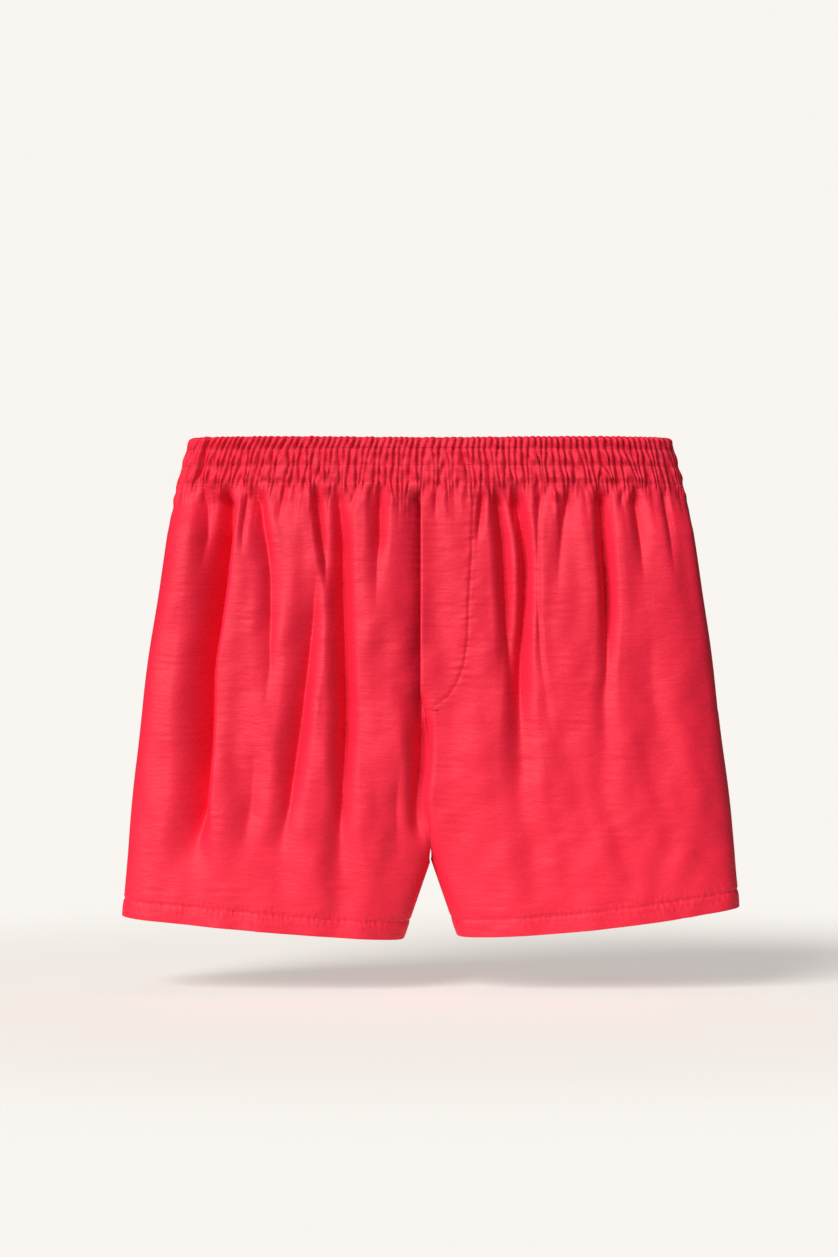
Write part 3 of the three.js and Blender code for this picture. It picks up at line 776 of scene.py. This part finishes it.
class ShortsSizes(bpy.types.PropertyGroup):
    """Sizes of the sewing, in metres."""

    stitch_length: bpy.props.FloatProperty(
        name="Stitch length", description="Length of one stitch with the gap after it",
        default=2.6 * MM, min=1 * MM, max=6 * MM, unit="LENGTH")
    thread_thickness: bpy.props.FloatProperty(
        name="Thread thickness", description="Diameter of the sewing thread",
        default=0.42 * MM, min=0.1 * MM, max=1 * MM, unit="LENGTH")
    key_light: bpy.props.FloatProperty(
        name="Key light", description="Strength of the soft light from the upper left",
        default=3.95, min=0.0, max=20.0)
    fill_light: bpy.props.FloatProperty(
        name="Fill light", description="Strength of the even light from all round",
        default=0.14, min=0.0, max=5.0)
    floor_drop: bpy.props.FloatProperty(
        name="Floor drop", description="Distance from the lowest hem down to the floor",
        default=38 * MM, min=0.0, max=1.0, unit="LENGTH")


class ShortsColours(bpy.types.PropertyGroup):
    """Colours, as sRGB hex text."""

    cloth: bpy.props.StringProperty(
        name="Cloth", description="Colour of the cloth's raised yarns", default="ec1a3b")
    cloth_dark: bpy.props.StringProperty(
        name="Cloth, low yarns", description="Colour between the yarns", default="dc1233")
    thread: bpy.props.StringProperty(
        name="Thread", description="Colour of the thread", default="d3152f")
    thread_dark: bpy.props.StringProperty(
        name="Thread, twist", description="Colour in the thread's twist", default="b8142a")
    elastic: bpy.props.StringProperty(
        name="Elastic", description="Colour of the elastic tape", default="f0ece6")
    label: bpy.props.StringProperty(
        name="Label", description="Colour of the blank label", default="f8f6f2")
    # The paper colour is the floor's glow, painted light that lifts the floor's shadows; the paper's own
    # colour is PAPER_SHADE.
    paper: bpy.props.StringProperty(
        name="Paper", description="Colour of the floor", default="f9f5f0")


# ---- Pieces --------------------------------------------------------------------------------------

# The cut cloth: round one leg at the hem, and its length along the waist over the gathered length.
PANEL_ROWS = 296
PANEL_COLUMNS = 322
HEM_SAMPLES = 1500
FLY_SAMPLES = 900
BAND_COLUMNS = 1240
PANEL_END = 1 - HEM_FOLD / PANEL_SPAN
PANEL_START = (STITCH_ROWS[2] - CASING_LAP + PANEL_TOP) / PANEL_SPAN


def panel_points(side, face):
    """A grid over one panel, evenly spaced down the leg and nearly evenly round it. The wearer's
    left front runs past the middle to the fly's free edge, and the right front runs on under it."""
    v = mix(PANEL_START, PANEL_END, np.linspace(0, 1, PANEL_ROWS))[:, None]
    w = np.linspace(0, 1, PANEL_COLUMNS)[None, :]
    z = mix(PANEL_TOP, -GARMENT_LENGTH, v)
    edge = np.zeros_like(v)
    if face == FRONT:
        under = 4 * MM * smooth(-GARMENT_LENGTH + 165 * MM, -GARMENT_LENGTH + 185 * MM, z)
        edge = fly_edge(z) if side > 0 else -fly_edge(z) - under
    inner = np.where(v < CROTCH_V, inner_angle(edge, v), math.pi)
    closed = np.clip((inner - math.pi / 2) / (math.pi / 2), 0, 1)
    angle = inner * w + (1 - closed) * 0.18 * np.sin(math.pi * w)
    return body_point(side, face, angle, v)


class SHORTS_OT_panels(bpy.types.Operator):
    """Cut and hang the four panels"""

    bl_idname = "shorts.panels"
    bl_label = "Panels"

    def execute(self, context):
        cloth = finish_of("woven_cloth", context)
        for word, side in (("left", 1), ("right", -1)):
            for place, face in (("front", FRONT), ("back", BACK)):
                points = panel_points(side, face)
                piece = grid_object(f"cloth_{place}_{word}", points, cloth, flip=side * face < 0)
                belongs(piece, "woven_cloth", f"{place}_panel_{word}")
        return {"FINISHED"}


class SHORTS_OT_waistband(bpy.types.Operator):
    """Gather the waistband's casing over its elastic tape"""

    bl_idname = "shorts.waistband"
    bl_label = "Waistband"

    def execute(self, context):
        angle = np.linspace(0, 2 * math.pi, BAND_COLUMNS, endpoint=False)[None, :]
        low = STITCH_ROWS[2] + CASING_LAP
        roll = CASING_THICKNESS / 2
        outer = np.linspace(low, roll, 36)
        over = np.linspace(0, math.pi, 9)[1:-1]
        inner = np.linspace(roll, low, 26)
        down = np.concatenate([outer, roll - roll * np.sin(over), inner])[:, None]
        inset = [0 * outer, roll - roll * np.cos(over), 0 * inner + CASING_THICKNESS]
        inset = np.concatenate(inset)[:, None]
        facing_out = np.concatenate([1 + 0 * outer, np.cos(over), -1 + 0 * inner])[:, None]
        turn = ring_turn(angle) + 0 * down
        relief = waist_relief(turn, down + 0 * angle)
        points = band_point(angle, down, inset - relief * facing_out)
        crest = np.clip(1 - np.abs(facing_out), 0, 1)
        dip = -1.4 * MM * bump(points[..., 0], 0, 90 * MM) * smooth(-20 * MM, 0, points[..., 2])
        points[..., 2] += crest * relief * 0.22 + dip
        cloth = finish_of("woven_cloth", context)
        piece = grid_object("gathered_casing", points, cloth, closed=True, flip=True)
        belongs(piece, "woven_cloth", "waist_casing")
        return {"FINISHED"}


class SHORTS_OT_elastic(bpy.types.Operator):
    """Join the elastic tape into a ring inside the casing"""

    bl_idname = "shorts.elastic"
    bl_label = "Elastic tape"

    def execute(self, context):
        low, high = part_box("waist_elastic")
        top, bottom = -high[2], -low[2]
        angle = np.linspace(0, 2 * math.pi, 641)[:, None]
        loop = np.linspace(0, 1, 64, endpoint=False)[None, :]
        share = np.where(loop < 0.5, loop * 2, 2 - loop * 2)
        rib = 0.10 * np.sin(share * math.pi * 26) ** 2 * np.sin(math.pi * share) ** 2
        side = np.sin(2 * math.pi * loop)
        side = np.sign(side) * np.abs(side) ** 0.2
        inset = 2.1 * MM - side * (0.42 + rib) * MM + 0.12 * MM * np.sin(90 * angle)
        points = band_point(angle + 0 * loop, mix(top, bottom, share) + 0 * angle, inset)
        piece = grid_object("elastic_tape", points, finish_of("elastic_tape", context), closed=True)
        belongs(piece, "elastic_tape", "waist_elastic")
        return {"FINISHED"}


def casing_face(inner):
    """The casing's outer or inner face as a function of the angle and the distance down."""
    def surface(angle, down):
        relief = waist_relief(ring_turn(angle), down)
        return band_point(angle, down, CASING_THICKNESS + relief if inner else -relief)
    return surface


def sew(name, parts, length, thickness, context, *nodes):
    """One thread from parts, each of them the centres, tangents and outward directions of stitches."""
    centres, tangents, outward = (np.concatenate(group) for group in zip(*parts))
    thread = finish_of("sewing_thread", context)
    piece = stitch_object(name, centres, tangents, outward, length, thickness, thread)
    belongs(piece, "sewing_thread", *nodes)


class SHORTS_OT_casing_stitches(bpy.types.Operator):
    """Sew the three rows through the casing and the elastic"""

    bl_idname = "shorts.casing_stitches"
    bl_label = "Casing stitches"

    def execute(self, context):
        sizes = context.scene.shorts_sizes
        spacing = sizes.stitch_length * 0.8
        for row, down in enumerate(STITCH_ROWS, start=1):
            angle = np.interp(np.arange(0, RING_LENGTH, spacing), RING_ARC, RING_ANGLES)
            step = 0.4 * spacing / PANEL_TOP_HALF_WIDTH
            parts = []
            for inner in (False, True):
                surface = casing_face(inner)
                tangents = surface(angle + step, down + 0 * angle) - surface(angle - step, down + 0 * angle)
                outward = normals(surface, angle, down + 0 * angle, 1 if inner else -1)
                parts.append((surface(angle, down + 0 * angle), tangents, outward))
            node = f"casing_stitch_row_{row}"
            sew(f"casing_thread_{row}", parts, spacing * 0.82, sizes.thread_thickness, context, node)
        return {"FINISHED"}


def hem_face(side, face, sink=0.0):
    """A leg's surface near the hem as a function of the angle and the height above the hem's edge."""
    def surface(angle, above):
        centre = leg_centre(1.0)
        x = centre + (HEM_HALF_WIDTH - centre) * np.cos(angle)
        v = 1 - above / (PANEL_TOP - hem_edge(x, side))
        return body_point(side, face, angle, v, sink)
    return surface


class SHORTS_OT_hems(bpy.types.Operator):
    """Turn up the two hems and stitch them"""

    bl_idname = "shorts.hems"
    bl_label = "Hems"

    def execute(self, context):
        sizes = context.scene.shorts_sizes
        turn = np.linspace(0, math.pi, 9)
        rise = np.linspace(HEM_FOLD, HEM_HEIGHT, 16)[1:]
        above = np.concatenate([HEM_FOLD * (1 - np.sin(turn)), rise, [HEM_HEIGHT + 0.2 * MM]])[:, None]
        sink = [HEM_FOLD * (1 - np.cos(turn)), 2 * HEM_FOLD + 0 * rise, [1.2 * HEM_FOLD]]
        sink = np.concatenate(sink)[:, None]
        angle = np.linspace(0, math.pi, 330)[None, :]
        for word, side in (("left", 1), ("right", -1)):
            behind = hem_face(side, BACK, sink)(angle, above)
            before = hem_face(side, FRONT, sink)(angle[:, ::-1], above)
            points = np.concatenate([behind[:, :-1], before[:, :-1]], axis=1)
            cloth = finish_of("woven_cloth", context)
            piece = grid_object(f"turned_hem_{word}", points, cloth, closed=True, flip=side > 0)
            belongs(piece, "woven_cloth", f"hem_band_{word}")
            parts = []
            for face in (BACK, FRONT):
                surface = hem_face(side, face)
                dense = np.linspace(0, math.pi, HEM_SAMPLES)
                places = evenly(surface(dense, HEM_STITCH_HEIGHT + 0 * dense), sizes.stitch_length)
                at = np.interp(places, np.arange(HEM_SAMPLES), dense)
                level = HEM_STITCH_HEIGHT + 0 * at
                # Known fault: within 0.004 of the front's two edges these tangents are undefined, as
                # body_point has no value past an edge, and so are the stitches there.
                tangents = surface(at + 0.004, level) - surface(at - 0.004, level)
                parts.append((surface(at, level), tangents, normals(surface, at, level, side * face)))
            sew(f"hem_thread_{word}", parts, sizes.stitch_length * 0.78, sizes.thread_thickness, context,
                f"hem_stitch_{word}")
        return {"FINISHED"}


class SHORTS_OT_fly(bpy.types.Operator):
    """Face the fly, set the underlap behind it, and sew the hooked line and the bar tack"""

    bl_idname = "shorts.fly"
    bl_label = "Fly"

    def execute(self, context):
        sizes = context.scene.shorts_sizes
        cloth = finish_of("woven_cloth", context)
        top = -STITCH_ROWS[2] - 2 * MM

        def facing(share, z, sink):
            x = mix(fly_edge(z) + 0.6 * MM, fly_line(z) - 1.2 * MM, share)
            return place_on_body(1, FRONT, x, z, sink)

        z = np.linspace(top, FLY_LOW + 6 * MM, 130)
        points = ply_points(facing, np.linspace(0, 1, 30), z, 0.8 * MM, 1.3 * MM)
        piece = grid_object("fly_facing_ply", points, cloth, closed=True, flip=True, capped=True)
        belongs(piece, "woven_cloth", "fly_facing")

        low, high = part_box("fly_underlap")

        def underlap(x, z, sink):
            return place_on_body(-1, FRONT, -x, z, sink + 14 * MM * smooth(top, top - 25 * MM, z), no_relief)

        x = np.linspace(low[0], high[0], 40)
        points = ply_points(underlap, x, np.linspace(top, low[2], 120), 0.9 * MM, 1.5 * MM)
        piece = grid_object("fly_underlap_ply", points, cloth, closed=True, flip=True, capped=True)
        belongs(piece, "woven_cloth", "fly_underlap")

        def front(x, z):
            return place_on_body(1, FRONT, x, z)

        z = np.linspace(top + 1 * MM, FLY_LOW, FLY_SAMPLES)
        line = np.stack([fly_line(z), z], axis=-1)
        places = evenly(line, sizes.stitch_length)
        (x, z), ahead, behind = (
            [np.interp(at, np.arange(FLY_SAMPLES), line[:, k]) for k in (0, 1)]
            for at in (places, places + 2, places - 2))
        parts = [(front(x, z), front(*ahead) - front(*behind), normals(front, x, z, 1))]
        sew("fly_thread", parts, sizes.stitch_length * 0.78, sizes.thread_thickness, context, "fly_stitch")

        x = np.linspace(0.6, 6.0, 12) * MM
        z = FLY_LOW + 2.2 * MM + 0 * x
        up = front(x + 0.15 * MM, z + 0.3 * MM) - front(x - 0.15 * MM, z - 0.3 * MM)
        parts = [(front(x, z), up, normals(front, x, z, 1))]
        sew("bar_tack_thread", parts, 1.9 * MM, sizes.thread_thickness, context, "fly_bartack")
        return {"FINISHED"}


def seam_piece(name, node, base, inward, across, context):
    """A seam's allowance: two plies that stand inwards from the seam, sway a little and are
    overlocked along their free edge. base, inward and across hold a point and two unit directions
    for each place along the seam."""
    sizes = context.scene.shorts_sizes
    base, inward, across = (resampled(values, base, 1.4 * MM) for values in (base, inward, across))
    along = np.arange(len(base)) * 1.4 * MM
    loop = np.linspace(0, 1, 21)
    depth = SEAM_WIDTH * np.where(loop < 0.5, 2 * loop, 2 - 2 * loop)
    side = np.clip((0.5 - loop) * 9, -1, 1) * np.clip(np.minimum(loop, 1 - loop) * 20 + 0.4, 0, 1)
    sway = 1.1 * MM * np.sin(along / (11 * MM)) * np.sin(along / (29 * MM) + 1)
    offset = side[None, :] * 0.45 * MM + sway[:, None] * (depth / SEAM_WIDTH)[None, :] ** 1.5
    points = base[:, None] + inward[:, None] * depth[None, :, None] + across[:, None] * offset[..., None]
    piece = grid_object(f"{name}_allowance", points, finish_of("woven_cloth", context))
    belongs(piece, "woven_cloth", node)

    edge = slice(0, len(base), 2)
    parts = []
    for turn in (-1, 1):
        place = base[edge] + inward[edge] * (SEAM_WIDTH - 1.2 * MM)
        place = place + across[edge] * (sway[edge] * 0.8 + turn * 0.5 * MM)[:, None]
        lean = inward[edge] + 0.45 * turn * np.gradient(base, 1.4 * MM, axis=0)[edge]
        parts.append((place, lean, turn * across[edge]))
    sew(f"{name}_overlock", parts, 2.9 * MM, sizes.thread_thickness * 0.8, context)


def resampled(values, base, spacing):
    """Values given along a line of points, read again an even spacing apart."""
    arc = np.concatenate([[0], np.cumsum(np.linalg.norm(np.diff(base, axis=0), axis=1))])
    wanted = np.arange(0, arc[-1], spacing)
    return np.stack([np.interp(wanted, arc, values[:, k]) for k in range(3)], axis=-1)


class SHORTS_OT_seams(bpy.types.Operator):
    """Stand the seams' allowances inside the garment and overlock them"""

    bl_idname = "shorts.seams"
    bl_label = "Seams"

    def execute(self, context):
        ends = 1 - (HEM_HEIGHT + 1 * MM) / PANEL_SPAN
        for word, side in (("left", 1), ("right", -1)):
            v = np.linspace(PANEL_START + 0.006, ends, 260)
            base = body_point(side, BACK, 0 * v, v, 0.5 * MM)
            inward = np.tile([-side, 0.0, 0.0], (len(v), 1))
            across = np.tile([0.0, 1.0, 0.0], (len(v), 1))
            seam_piece(f"side_seam_{word}", f"side_seam_{word}", base, inward, across, context)
            v = np.linspace(CROTCH_V + 0.02, ends, 60)
            base = body_point(side, BACK, math.pi + 0 * v, v, 0.5 * MM)
            seam_piece(f"inseam_{word}", f"inseam_{word}", base, -inward[:60], across[:60], context)
        down = np.linspace((PANEL_TOP - FLY_LOW) / PANEL_SPAN, CROTCH_V - 0.004, 120)
        up = np.linspace(CROTCH_V - 0.004, PANEL_START + 0.006, 260)
        before = body_point(1, FRONT, inner_angle(0.0, down), down, 0.8 * MM)
        behind = body_point(1, BACK, inner_angle(0.0, up), up, 0.8 * MM)
        base = np.concatenate([before, behind])
        soften = np.ones(9) / 9
        padded = np.pad(base, ((4, 4), (0, 0)), mode="edge")
        base = np.stack([np.convolve(column, soften, mode="valid") for column in padded.T], axis=-1)
        tangent = np.gradient(base, axis=0)
        inward = np.stack([0 * tangent[:, 0], -tangent[:, 2], tangent[:, 1]], axis=-1)
        inward /= np.linalg.norm(inward, axis=1, keepdims=True)
        across = np.tile([1.0, 0.0, 0.0], (len(base), 1))
        seam_piece("middle_seam", "crotch_seam", base, inward, across, context)
        return {"FINISHED"}


class SHORTS_OT_label(bpy.types.Operator):
    """Hang the blank care label inside the back of the waist"""

    bl_idname = "shorts.label"
    bl_label = "Care label"

    def execute(self, context):
        low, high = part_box("care_label")
        x = np.linspace(low[0], high[0], 24)[None, :]
        loop = np.linspace(0, 1, 60)[:, None]
        fall = np.where(loop < 0.5, loop * 2, 2 - loop * 2)
        apart = 0.5 * MM * np.sin(math.pi * np.clip(fall, 0, 1)) + 0.15 * MM
        z = mix(high[2], low[2], fall) + 0 * x
        wave = 1.2 * MM * fall * np.sin(x / (9 * MM))
        y = low[1] - 2.2 * MM + 4 * MM * fall + np.where(loop < 0.5, apart, -apart) + wave
        points = np.stack([x + 0 * z, y, z], axis=-1)
        piece = grid_object("blank_label", points, finish_of("label_tape", context), flip=True)
        belongs(piece, "label_tape", "care_label")
        return {"FINISHED"}


FLOOR_RADIUS = 0.9
SUN_SOFTNESS = math.radians(38)
SUN_DIRECTION = (math.radians(57), 0, math.radians(-39))
# The height that the frame takes in at the front of the cloth, and where the camera aims.
FRAME_HEIGHT = 0.9553
AIM_ACROSS = -8.7 * MM
AIM_HEIGHT = 234.5 * MM
CLOTH_AHEAD = 18 * MM


class SHORTS_OT_stage(bpy.types.Operator):
    """Lay the floor and set the lights and the camera"""

    bl_idname = "shorts.stage"
    bl_label = "Stage"

    def execute(self, context):
        scene = context.scene
        sizes = scene.shorts_sizes
        steps = np.linspace(0, 2 * math.pi, 96, endpoint=False)
        rings = np.linspace(0, 1, 12)[:, None]
        floor_z = -GARMENT_LENGTH - sizes.floor_drop
        points = np.stack([FLOOR_RADIUS * rings * np.cos(steps), FLOOR_RADIUS * rings * np.sin(steps),
                           floor_z + 0 * rings * steps], axis=-1)
        paper = finish_of("paper", context)
        floor = grid_object("paper_floor", points, paper, closed=True, flat=points[..., :2])

        world = bpy.data.worlds.new("studio")
        world.use_nodes = True
        tree = world.node_tree
        seen = tree.nodes["Background"]
        seen.inputs["Color"].default_value = linear(BACKDROP_SHADE)
        lit = add(tree, "ShaderNodeBackground", {"Color": linear(SKY_SHADE), "Strength": sizes.fill_light})
        rays = add(tree, "ShaderNodeLightPath")
        sides = {0: rays.outputs["Is Camera Ray"], 1: lit.outputs[0], 2: seen.outputs[0]}
        both = add(tree, "ShaderNodeMixShader", sides)
        tree.links.new(both.outputs[0], tree.nodes["World Output"].inputs["Surface"])
        scene.world = world
        scene.view_settings.view_transform = "Standard"

        key = bpy.data.lights.new("key", "SUN")
        key.energy = sizes.key_light
        key.angle = SUN_SOFTNESS
        lamp = bpy.data.objects.new("key", key)
        lamp.rotation_euler = SUN_DIRECTION
        scene.collection.objects.link(lamp)

        data = bpy.data.cameras.new("camera")
        data.lens = 100
        data.sensor_width = 36
        camera = bpy.data.objects.new("camera", data)
        scene.collection.objects.link(camera)
        distance = FRAME_HEIGHT * data.lens / data.sensor_width
        camera.location = (AIM_ACROSS, -distance - CLOTH_AHEAD, -GARMENT_LENGTH + AIM_HEIGHT)
        camera.rotation_euler = (math.pi / 2, 0, 0)
        data.clip_end = 60
        scene.camera = camera
        return {"FINISHED"}


class SHORTS_PT_panel(bpy.types.Panel):
    """Lists the pieces, the sizes and the colours"""

    bl_idname = "SHORTS_PT_panel"
    bl_label = "Boxer shorts"
    bl_space_type = "VIEW_3D"
    bl_region_type = "UI"
    bl_category = "Shorts"

    def draw(self, context):
        layout = self.layout
        for group in (context.scene.shorts_sizes, context.scene.shorts_colours):
            for name in group.__annotations__:
                layout.prop(group, name)
        for step in STEPS:
            layout.operator(step.bl_idname)


STEPS = (SHORTS_OT_stage, SHORTS_OT_panels, SHORTS_OT_waistband, SHORTS_OT_elastic,
         SHORTS_OT_casing_stitches, SHORTS_OT_hems, SHORTS_OT_fly, SHORTS_OT_seams, SHORTS_OT_label)
CLASSES = (ShortsSizes, ShortsColours, *STEPS, SHORTS_PT_panel)


def register():
    for cls in CLASSES:
        bpy.utils.register_class(cls)
    bpy.types.Scene.shorts_sizes = bpy.props.PointerProperty(type=ShortsSizes)
    bpy.types.Scene.shorts_colours = bpy.props.PointerProperty(type=ShortsColours)


def unregister():
    del bpy.types.Scene.shorts_colours
    del bpy.types.Scene.shorts_sizes
    for cls in reversed(CLASSES):
        bpy.utils.unregister_class(cls)


def main():
    register()
    bpy.ops.shorts.stage()
    bpy.ops.shorts.panels()
    bpy.ops.shorts.waistband()
    bpy.ops.shorts.elastic()
    bpy.ops.shorts.casing_stitches()
    bpy.ops.shorts.hems()
    bpy.ops.shorts.fly()
    bpy.ops.shorts.seams()
    bpy.ops.shorts.label()


if __name__ == "__main__":
    main()
